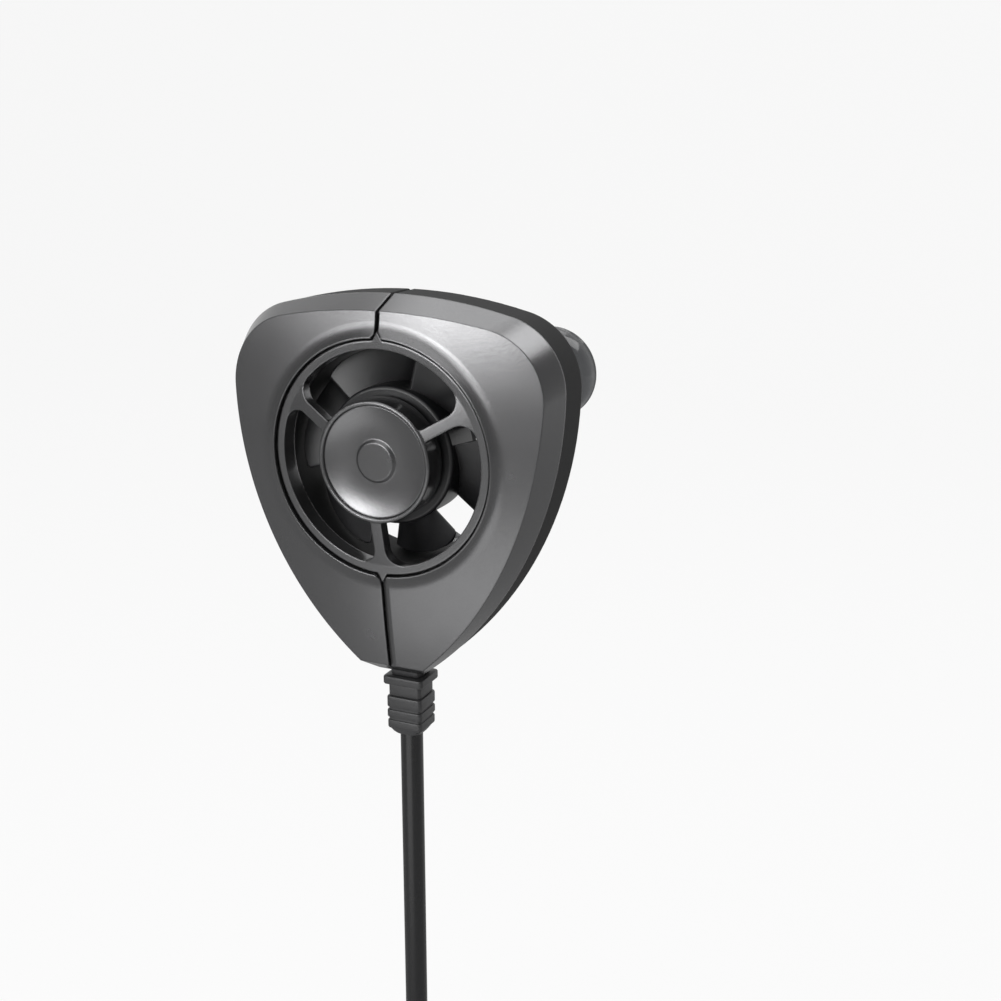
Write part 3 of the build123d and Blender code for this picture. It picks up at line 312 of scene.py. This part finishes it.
# Motor, screws and plug inserts: pressed steel, ferrite, sintered bronze, enamelled copper
# wire, a green laminate board, and the plug's acetal tongue with its gold-plated springs.
# The motor is pressed together behind the hub, where little of it is seen.
small_parts = (
    # finish, darker and lighter colour, metallic, roughness, grain in mm, pieces
    # bluish white, with a fine frost that spreads its highlights
    ("zinc_plated_steel", "#a9abad", "#bfc1c2", 1.0, 0.32, 0.4,
     ("rotor_yoke", "shaft", "retaining_clip", "stator_core", "cover_screws")),
    # dull and nearly black, like fired clay
    ("black_ferrite", "#2a2a2c", "#38383a", 0.0, 0.6, 0.3, ("magnet_ring",)),
    # brown and satin, with open pores
    ("sintered_bronze", "#8a6238", "#a77b48", 1.0, 0.45, 0.25, ("sleeve_bearing",)),
    # milky white and waxy
    ("white_acetal", "#dcdcd8", "#ececea", 0.0, 0.4, 0.8, ("thrust_pad", "plug_tongue")),
    # deep orange-brown with bright lines of light
    ("enamelled_copper", "#a5562c", "#bf6b38", 1.0, 0.25, 0.3, ("stator_coils",)),
    # dark green under a smooth lacquer
    ("green_laminate", "#12432a", "#1a5535", 0.0, 0.35, 0.5, ("driver_board",)),
    # flat black, faintly sandy
    ("black_epoxy", "#1c1c1e", "#262628", 0.0, 0.45, 0.3, ("board_parts",)),
    # bright yellow, and smooth enough to mirror the plug's inside
    ("gold_plate", "#d8ac54", "#e3bd6c", 1.0, 0.22, 0.5, ("plug_contacts",)),
)
for name, dark, light, metallic, rough, grain_mm, pieces in small_parts:
    small = bare_finish(name)
    place = put(small, "ShaderNodeTexCoord").outputs["Object"]
    grain = put(small, "ShaderNodeTexNoise", {"Vector": place, "Scale": 1000 / grain_mm, "Detail": 3})
    tone = put(
        small,
        "ShaderNodeMix",
        {0: grain.outputs["Fac"], 6: linear(dark), 7: linear(light)},
        data_type="RGBA",
    )
    skin = put(
        small, "ShaderNodeBump", {"Height": grain.outputs["Fac"], "Strength": 0.08, "Distance": 0.0001}
    )
    surface = put(
        small,
        "ShaderNodeBsdfPrincipled",
        {"Base Color": tone.outputs[2], "Metallic": metallic, "Roughness": rough, "Normal": skin.outputs[0]},
    )
    put(small, "ShaderNodeOutputMaterial", {"Surface": surface.outputs[0]})
    dress(small, *pieces)

# Lead wires: two tinned leads in thin PVC, red and black, laid from the strain relief past
# the lowest cup's knob and soldered to the board.
wire_radius = 0.0004
# mm to the side, in front of the cups' rims, and up; the black wire mirrors the red one
wire_route = (
    (0.6, 12.2, -35.4),
    (0.6, 12.2, -33.6),
    (4.2, 9.85, -27.5),
    (4.2, 9.85, -21.5),
    (0.6, 9.85, -19.1),
    (0.6, 9.85, -10.0),
)
for side, wire_name, hex_colour in ((1, "wire_red", "#9c1512"), (-1, "wire_black", "#1a1a1b")):
    wire_curve = bpy.data.curves.new(wire_name, "CURVE")
    wire_curve.dimensions = "3D"
    wire_curve.bevel_depth = 1
    wire_curve.bevel_resolution = 4
    wire_curve.use_fill_caps = True
    spline = wire_curve.splines.new("NURBS")
    spline.points.add(len(wire_route) - 1)
    for spot, (x, height, z) in zip(spline.points, wire_route):
        spot.co = (side * x / 1000, -height / 1000, z / 1000, 1)
        spot.radius = wire_radius
    spline.order_u = 3
    spline.use_endpoint_u = True
    wire = bpy.data.objects.new(wire_name, wire_curve)
    scene.collection.objects.link(wire)
    wire_pvc = bare_finish(wire_name + "_pvc")
    # thin smooth PVC shows a clear colour and a narrow highlight along each wire
    place = put(wire_pvc, "ShaderNodeTexCoord").outputs["Object"]
    grain = put(wire_pvc, "ShaderNodeTexNoise", {"Vector": place, "Scale": 1000 / 0.4})
    skin = put(
        wire_pvc, "ShaderNodeBump", {"Height": grain.outputs["Fac"], "Strength": 0.05, "Distance": 0.0001}
    )
    sleeve = put(
        wire_pvc,
        "ShaderNodeBsdfPrincipled",
        {"Base Color": linear(hex_colour), "Roughness": 0.35, "Normal": skin.outputs[0]},
    )
    put(wire_pvc, "ShaderNodeOutputMaterial", {"Surface": sleeve.outputs[0]})
    dress(wire_pvc, wire_name)
    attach(wire, "housing")
    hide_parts("lead_wires")

# Impeller: hub and six swept blades in one moulding of charcoal nylon, pressed over the
# motor's steel yoke.
nylon = bare_finish("charcoal_nylon")
# A polished mould leaves it smooth: dark, with a soft satin light on each blade and faint
# flow marks of 1.5 mm.
place = put(nylon, "ShaderNodeTexCoord").outputs["Object"]
flow = put(nylon, "ShaderNodeTexNoise", {"Vector": place, "Scale": 1000 / 1.5, "Detail": 3})
tone = put(
    nylon,
    "ShaderNodeMix",
    {0: flow.outputs["Fac"], 6: linear("#19191a"), 7: linear("#222224")},
    data_type="RGBA",
)
round_edge = put(nylon, "ShaderNodeBevel", {"Radius": 0.0002}, samples=6)
skin = put(
    nylon,
    "ShaderNodeBump",
    {"Height": flow.outputs["Fac"], "Normal": round_edge.outputs[0], "Strength": 0.06, "Distance": 0.0002},
)
blades = put(
    nylon,
    "ShaderNodeBsdfPrincipled",
    {"Base Color": tone.outputs[2], "Roughness": 0.36, "IOR": 1.53, "Normal": skin.outputs[0]},
)
put(nylon, "ShaderNodeOutputMaterial", {"Surface": blades.outputs[0]})
dress(nylon, "rotor")

# Front: two ABS covers that meet on the centre line, the guard whose ring sits in their
# opening, and the dished cap in its hub. All are moulded and sprayed alike; screws hold the
# covers from behind, and the cap is pressed in.
gunmetal = bare_finish("gunmetal_lacquer")
# The satin gunmetal lacquer gives broad soft highlights that darken quickly to the sides. Its
# flakes are drawn at 0.22 mm, ten times as coarse as real ones, so that they show; the cloud
# is the 6 mm unevenness of a sprayed coat, and the orange peel its 0.5 mm ripple.
place = put(gunmetal, "ShaderNodeTexCoord").outputs["Object"]
flake = put(gunmetal, "ShaderNodeTexVoronoi", {"Vector": place, "Scale": 1000 / 0.22})
flake_tone = put(
    gunmetal,
    "ShaderNodeMapRange",
    {"Value": flake.outputs["Distance"], "From Max": 0.7, "To Min": 0.92, "To Max": 1.06},
)
lacquer = put(
    gunmetal,
    "ShaderNodeMix",
    {0: 1.0, 6: linear("#727273"), 7: flake_tone.outputs[0]},
    data_type="RGBA",
    blend_type="MULTIPLY",
)
cloud = put(gunmetal, "ShaderNodeTexNoise", {"Vector": place, "Scale": 1000 / 6, "Detail": 2})
matt = put(
    gunmetal, "ShaderNodeMapRange", {"Value": cloud.outputs["Fac"], "To Min": 0.23, "To Max": 0.29}
)
orange_peel = put(gunmetal, "ShaderNodeTexNoise", {"Vector": place, "Scale": 1000 / 0.5, "Detail": 2})
round_edge = put(gunmetal, "ShaderNodeBevel", {"Radius": 0.00035}, samples=6)
skin = put(
    gunmetal,
    "ShaderNodeBump",
    {
        "Height": orange_peel.outputs["Fac"],
        "Normal": round_edge.outputs[0],
        "Strength": 0.03,
        "Distance": 0.0002,
    },
)
coat = put(
    gunmetal,
    "ShaderNodeBsdfPrincipled",
    {
        "Base Color": lacquer.outputs[2],
        "Metallic": 0.9,
        "Roughness": matt.outputs["Result"],
        "Normal": skin.outputs[0],
    },
)
put(gunmetal, "ShaderNodeOutputMaterial", {"Surface": coat.outputs[0]})
dress(gunmetal, "left_front_cover", "right_front_cover", "fan_guard", "hub_cap")

# Suction cups: three, moulded in clear smoked PVC in one piece with a neck and a knob that is
# pulled through the housing. Each is turned round its own axis here.
cup_distance = 24.5  # from the fan's axis to the cup's, in mm
cup_turns = 72


def arc_through(start, middle, end, parts):
    """Points along the circle through three points, the last one included."""
    (ax, ay), (bx, by), (cx, cy) = start, middle, end
    cross = 2 * (ax * (by - cy) + bx * (cy - ay) + cx * (ay - by))
    squares = ax**2 + ay**2, bx**2 + by**2, cx**2 + cy**2
    ux = (squares[0] * (by - cy) + squares[1] * (cy - ay) + squares[2] * (ay - by)) / cross
    uy = (squares[0] * (cx - bx) + squares[1] * (ax - cx) + squares[2] * (bx - ax)) / cross
    radius = math.hypot(ax - ux, ay - uy)
    first = math.atan2(ay - uy, ax - ux)
    last = math.atan2(cy - uy, cx - ux)
    sweep = (last - first + math.pi) % (2 * math.pi) - math.pi
    turns = [first + sweep * part / parts for part in range(1, parts + 1)]
    return [(ux + radius * math.cos(turn), uy + radius * math.sin(turn)) for turn in turns]


# half section in mm, as distance from the cup's axis and height from its rim
cup_profile = [(0, 2.6)]
cup_profile += arc_through((0, 2.6), (4.62, 1.77), (7.0, 0.02), parts=14)  # hollow side
cup_profile += [(7.1, 0), (7.5, 0), (7.58, 0.08), (7.6, 0.2), (7.58, 0.42), (7.5, 0.56)]  # rim
cup_profile += arc_through((7.5, 0.6), (6.17, 3.66), (3.75, 5.12), parts=14)  # outer side
cup_profile += [(3.52, 5.26), (3.42, 5.45), (3.4, 5.7), (3.4, 7.9), (3.36, 8.1), (3.25, 8.18)]  # collar
cup_profile += [(2.3, 8.18), (2.2, 8.3), (2.2, 9.45)]  # neck in the housing's hole
cup_profile += [(2.9, 9.46), (2.98, 9.56), (3.0, 9.8), (3.0, 10.75)]  # knob
cup_profile += arc_through((3.0, 10.75), (2.824, 11.174), (2.4, 11.35), parts=5) + [(0, 11.35)]
for cup_name, cup_degrees in (("right", 30), ("left", 150), ("bottom", 270)):
    middle_x = cup_distance * math.cos(math.radians(cup_degrees))
    middle_z = cup_distance * math.sin(math.radians(cup_degrees))
    cup_loops = []
    for radius, height in cup_profile[1:-1]:
        loop = []
        for turn in range(cup_turns):
            around = 2 * math.pi * turn / cup_turns
            x, z = middle_x + radius * math.cos(around), middle_z + radius * math.sin(around)
            loop.append((x / 1000, -height / 1000, z / 1000))
        cup_loops.append(loop)
    verts, faces = skin_over(cup_loops)
    last_loop = len(verts) - cup_turns
    for first, height in ((0, cup_profile[0][1]), (last_loop, cup_profile[-1][1])):
        verts.append((middle_x / 1000, -height / 1000, middle_z / 1000))
        for turn in range(cup_turns):
            faces.append((len(verts) - 1, first + turn, first + (turn + 1) % cup_turns))
    cup = make_piece("cup_" + cup_name, verts, faces, "housing", sharp_degrees=50)
    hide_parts("suction_cup_" + cup_name)
smoked_pvc = bare_finish("smoked_clear_pvc")
# Smoked clear PVC: the thin skirt lets light through and the thick collar looks darker, under
# a glossy skin with a haze in patches of 2 mm.
place = put(smoked_pvc, "ShaderNodeTexCoord").outputs["Object"]
haze = put(smoked_pvc, "ShaderNodeTexNoise", {"Vector": place, "Scale": 1000 / 2, "Detail": 2})
tone = put(
    smoked_pvc,
    "ShaderNodeMix",
    {0: haze.outputs["Fac"], 6: linear("#5c5d5f"), 7: linear("#6a6b6d")},
    data_type="RGBA",
)
matt = put(smoked_pvc, "ShaderNodeMapRange", {"Value": haze.outputs["Fac"], "To Min": 0.1, "To Max": 0.2})
ripple = put(
    smoked_pvc, "ShaderNodeBump", {"Height": haze.outputs["Fac"], "Strength": 0.05, "Distance": 0.0003}
)
smoke = put(
    smoked_pvc,
    "ShaderNodeBsdfPrincipled",
    {
        "Base Color": tone.outputs[2],
        "Roughness": matt.outputs["Result"],
        "IOR": 1.53,
        "Transmission Weight": 0.7,
        "Normal": ripple.outputs[0],
    },
)
put(smoked_pvc, "ShaderNodeOutputMaterial", {"Surface": smoke.outputs[0]})
dress(smoked_pvc, "cup_left", "cup_right", "cup_bottom")

# Strain relief and the plug's grip: stiff black PVC moulded round the cord. The relief is in
# square blocks parted by grooves, so that it bends a little at a time, and its inner flange
# is caught inside the housing.
relief_top = -35.4
relief_corner = 0.7
edge = 0.25  # every edge of a block is broken by this
groove = 0.4  # shorter blocks than two edges are grooves, with no broken edge
# width, depth and length of each block in mm, from inside of the housing downwards
relief_blocks = (
    (6.6, 5.2, 1.6),
    (5.6, 4.6, 3.1),
    (7.6, 6.8, 1.5),
    (6.2, 5.4, 2.3),
    (6.7, 6.1, 2.1),
    (6.2, 5.6, groove),
    (6.7, 6.1, 1.5),
    (6.2, 5.6, groove),
    (6.6, 6.0, 1.6),
)
# width, depth, corner and drop of the rounded foot below the last block, in mm
relief_foot = ((5.2, 5.0, 0.9, 0.7), (4.8, 4.8, 1.4, 1.0), (4.3, 4.3, 2.0, 1.1))
relief_rings = []
level = relief_top
for width, depth, length in relief_blocks:
    shoulder = 0.3 * edge
    stations = ((0, 0), (length, 0))
    if length >= 2 * edge:
        stations = ((0, edge), (shoulder, shoulder), (edge, 0))
        stations += tuple((length - drop, inset) for drop, inset in reversed(stations))
    for drop, inset in stations:
        relief_rings.append((width - 2 * inset, depth - 2 * inset, relief_corner, level - drop))
    level -= length
relief_rings += [(width, depth, corner, level - drop) for width, depth, corner, drop in relief_foot]
relief_loops = [
    rounded_loop(width / 1000, depth / 1000, corner / 1000, height / 1000, (0, -cord_depth))
    for width, depth, corner, height in relief_rings
]
verts, faces = skin_over(relief_loops)
loop_points = len(relief_loops[0])
faces += [tuple(range(loop_points)), tuple(range(len(verts) - loop_points, len(verts)))]
relief = make_piece("relief_blocks", verts, faces, "housing", sharp_degrees=40)
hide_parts("strain_relief")
stiff_pvc = bare_finish("stiff_pvc_black")
# Stiff PVC is a shade greyer than the cord, with a low sheen on its broken edges and a faint
# 0.4 mm grain from the mould.
place = put(stiff_pvc, "ShaderNodeTexCoord").outputs["Object"]
grain = put(stiff_pvc, "ShaderNodeTexNoise", {"Vector": place, "Scale": 1000 / 0.4, "Detail": 3})
tone = put(
    stiff_pvc,
    "ShaderNodeMix",
    {0: grain.outputs["Fac"], 6: linear("#343435"), 7: linear("#404041")},
    data_type="RGBA",
)
skin = put(
    stiff_pvc, "ShaderNodeBump", {"Height": grain.outputs["Fac"], "Strength": 0.1, "Distance": 0.0001}
)
blocks = put(
    stiff_pvc,
    "ShaderNodeBsdfPrincipled",
    {"Base Color": tone.outputs[2], "Roughness": 0.4, "Normal": skin.outputs[0]},
)
put(stiff_pvc, "ShaderNodeOutputMaterial", {"Surface": blocks.outputs[0]})
dress(stiff_pvc, "relief_blocks", "plug_grip")

# Plug shell: nickel-plated steel sheet, folded into a box round the plug's tongue and held
# in the moulded grip.
nickel = bare_finish("nickel_plated_sheet")
# It is bright and warm grey, dulled by the fine scratches of being pushed into sockets, which
# are 1.2 mm long, run along it and lie an eighth of that apart.
place = put(nickel, "ShaderNodeTexCoord").outputs["Object"]
along = put(nickel, "ShaderNodeMapping", {"Vector": place, "Scale": (8, 8, 1)})
scratch = put(nickel, "ShaderNodeTexNoise", {"Vector": along.outputs[0], "Scale": 1000 / 1.2, "Detail": 4})
matt = put(nickel, "ShaderNodeMapRange", {"Value": scratch.outputs["Fac"], "To Min": 0.16, "To Max": 0.34})
plating = put(
    nickel,
    "ShaderNodeBsdfPrincipled",
    {"Base Color": linear("#c6c4bf"), "Metallic": 1, "Roughness": matt.outputs["Result"]},
)
put(nickel, "ShaderNodeOutputMaterial", {"Surface": plating.outputs[0]})
dress(nickel, "plug_shell")

# Stage: a sheet of white paper, laid under the object and swept up to a wall behind it. It is
# there for the picture only.
floor_level = -0.232
floor_front, floor_back = -1.6, 1.1
half_width = 1.6
sweep_radius, sweep_parts = 0.5, 8
wall_top = 1.6
sweep_line = [(floor_front, floor_level), (floor_back, floor_level)]
for part in range(1, sweep_parts + 1):
    turn = math.radians(90 * part / sweep_parts)
    y, z = sweep_radius * math.sin(turn), sweep_radius - sweep_radius * math.cos(turn)
    sweep_line.append((floor_back + y, floor_level + z))
sweep_line.append((floor_back + sweep_radius, wall_top))
paper_mesh = bpy.data.meshes.new("paper_sweep")
paper_verts = [(x, y, z) for y, z in sweep_line for x in (-half_width, half_width)]
paper_faces = [(2 * k, 2 * k + 1, 2 * k + 3, 2 * k + 2) for k in range(len(sweep_line) - 1)]
paper_mesh.from_pydata(paper_verts, [], paper_faces)
for face in paper_mesh.polygons:
    face.use_smooth = True
paper_sweep = bpy.data.objects.new("paper_sweep", paper_mesh)
scene.collection.objects.link(paper_sweep)
paper = bare_finish("white_paper")
# The paper is seen white, also through clear pieces and mirrored in glossy ones, but keeps a
# tenth of its own shading with the shadow in it. Towards the front its mirror image dims, as
# a studio is dark in front of the object.
seen_share = 0.9
path = put(paper, "ShaderNodeLightPath")
along = put(paper, "ShaderNodeSeparateXYZ", {0: put(paper, "ShaderNodeTexCoord").outputs["Object"]})
ahead = put(
    paper,
    "ShaderNodeMapRange",
    {"Value": along.outputs["Y"], "From Min": 0.9, "From Max": 0.1, "To Max": 0.7},
)
dimmed = put(
    paper,
    "ShaderNodeMath",
    {0: path.outputs["Is Glossy Ray"], 1: ahead.outputs["Result"]},
    operation="MULTIPLY",
)
glow_level = put(paper, "ShaderNodeMath", {0: 1, 1: dimmed.outputs[0]}, operation="SUBTRACT")
glow = put(paper, "ShaderNodeEmission", {"Color": (1, 1, 1, 1), "Strength": glow_level.outputs[0]})
seen = put(
    paper,
    "ShaderNodeMath",
    {0: path.outputs["Is Camera Ray"], 1: path.outputs["Is Glossy Ray"]},
    operation="MAXIMUM",
)
seen = put(
    paper,
    "ShaderNodeMath",
    {0: seen.outputs[0], 1: path.outputs["Is Transmission Ray"]},
    operation="MAXIMUM",
)
share = put(paper, "ShaderNodeMath", {0: seen.outputs[0], 1: seen_share}, operation="MULTIPLY")
shaded = put(paper, "ShaderNodeBsdfPrincipled", {"Base Color": linear("#f2f2f2"), "Roughness": 0.9})
both = put(paper, "ShaderNodeMixShader", {0: share.outputs[0], 1: shaded.outputs[0], 2: glow.outputs[0]})
put(paper, "ShaderNodeOutputMaterial", {"Surface": both.outputs[0]})
dress(paper, "paper_sweep")

# Light: a grey studio. A wide soft box with a bright core stands in front, a little above the
# fan, with a card under it and a panel over it; one box hangs overhead and two light it from
# above at the back. The wall behind the object is seen white, as the paper is.
wall_grey = 0.22
studio = bpy.data.worlds.new("studio")
scene.world = studio
studio.use_nodes = True
wall_light = studio.node_tree.nodes["Background"]
wall_light.inputs["Color"].default_value = (1, 1, 1, 1)
path = put(studio, "ShaderNodeLightPath")
heading = put(studio, "ShaderNodeSeparateXYZ", {0: put(studio, "ShaderNodeTexCoord").outputs["Generated"]})
behind = put(studio, "ShaderNodeMapRange", {"Value": heading.outputs["Y"], "From Min": 0.2, "From Max": 0.8})
mirrored = put(
    studio,
    "ShaderNodeMath",
    {0: path.outputs["Is Glossy Ray"], 1: behind.outputs["Result"]},
    operation="MULTIPLY",
)
seen = put(
    studio,
    "ShaderNodeMath",
    {0: path.outputs["Is Camera Ray"], 1: path.outputs["Is Transmission Ray"]},
    operation="MAXIMUM",
)
seen = put(studio, "ShaderNodeMath", {0: seen.outputs[0], 1: mirrored.outputs[0]}, operation="MAXIMUM")
wall_level = put(studio, "ShaderNodeMapRange", {"Value": seen.outputs[0], "To Min": wall_grey})
studio.node_tree.links.new(wall_level.outputs["Result"], wall_light.inputs["Strength"])
for lamp_name, right_by, up_by, distance, width, height, radiance in (
    # name, degrees to the right of the front, degrees up, distance, width, height, radiance
    ("front_strip", -18, 13, 0.9, 0.80, 0.32, 3.2),
    ("front_core", -18, 6, 0.9, 0.26, 0.15, 7.5),
    ("front_card", -6, -31, 0.33, 0.25, 0.12, 1.1),
    ("upper_panel", -8, 44, 0.9, 0.80, 0.50, 1.3),
    ("overhead", -60, 74, 0.9, 0.40, 0.40, 1.8),
    ("rear_top_right", 120, 60, 0.9, 0.50, 0.50, 3.2),
    ("rear_top_left", -160, 60, 0.9, 0.50, 0.45, 1.5),
):
    lamp_data = bpy.data.lights.new(lamp_name, "AREA")
    lamp_data.shape = "RECTANGLE"
    lamp_data.size = width
    lamp_data.size_y = height
    lamp_data.energy = radiance * math.pi * width * height
    lamp = bpy.data.objects.new(lamp_name, lamp_data)
    around, upward = math.radians(right_by), math.radians(up_by)
    side, front = math.sin(around) * math.cos(upward), -math.cos(around) * math.cos(upward)
    towards_lamp = Vector((side, front, math.sin(upward)))
    lamp.location = distance * towards_lamp
    lamp.rotation_euler = towards_lamp.to_track_quat("Z", "Y").to_euler()
    scene.collection.objects.link(lamp)
